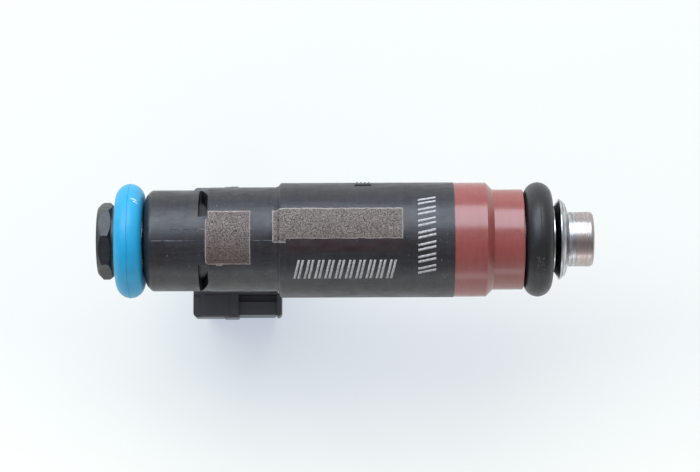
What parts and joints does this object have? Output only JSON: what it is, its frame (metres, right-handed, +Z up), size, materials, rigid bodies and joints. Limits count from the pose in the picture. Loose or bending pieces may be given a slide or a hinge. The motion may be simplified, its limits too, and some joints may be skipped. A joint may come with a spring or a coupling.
{
  "type": "fuel injector",
  "caption": "Top-feed solenoid fuel injector with rail and manifold O-rings, a two-blade side connector, retaining clip slots and a spring-closed ball valve that lifts.",
  "frame": {"origin": "on the injector's axis, at the centre of the manifold O-ring (the lower one, by the nozzle)", "axes": "+X along the injector's axis from the fuel rail end to the nozzle, +Z up, and the electrical connector's mouth faces -Z; +Y completes a right-handed frame"},
  "size_m": [0.0631, 0.0176, 0.0333],
  "materials": {
    "cap_plastic": "moulded",
    "blue_rubber": "smooth",
    "black_plastic": "moulded, glass-filled",
    "red_brown_plastic": "moulded",
    "black_rubber": "smooth",
    "polished_steel": "polished",
    "turned_steel": "turned",
    "plated_steel": "plated",
    "tinned_brass": "tinned",
    "filter_plastic": "moulded",
    "screen_mesh": "woven",
    "bobbin_plastic": "moulded",
    "copper_wire": "enamelled",
    "spring_steel": "drawn"
  },
  "bodies": {
    "injector_body": {"inlet_cap": "cap_plastic", "upper_o_ring": "blue_rubber", "overmold": "black_plastic", "lower_sleeve": "red_brown_plastic", "lower_o_ring": "black_rubber", "o_ring_retainer": "polished_steel", "valve_body": "turned_steel", "terminal_1": "tinned_brass", "terminal_2": "tinned_brass", "filter_frame": "filter_plastic", "filter_screen": "screen_mesh", "inlet_tube": "turned_steel", "pole_piece": "turned_steel", "valve_shell": "turned_steel", "coil_bobbin": "bobbin_plastic", "coil_winding": "copper_wire", "flux_washer": "turned_steel", "coil_housing": "plated_steel", "coil_lead_1": "copper_wire", "coil_lead_2": "copper_wire", "ball_guide": "turned_steel", "valve_seat": "polished_steel", "seat_seal": "black_rubber", "orifice_plate": "polished_steel", "backup_ring": "turned_steel", "adjusting_tube": "turned_steel", "return_spring": "spring_steel"},
    "needle": {"armature": "turned_steel", "armature_tube": "turned_steel", "valve_ball": "polished_steel"}
  },
  "joints": [
    {"name": "needle_lift", "type": "slide", "parent": "injector_body", "child": "needle", "axis": [-1, 0, 0], "range_m": [0, 0.0001], "stiffness_N_per_m": 1500, "springref_m": -0.002, "deforming": ["return_spring"]}
  ]
}
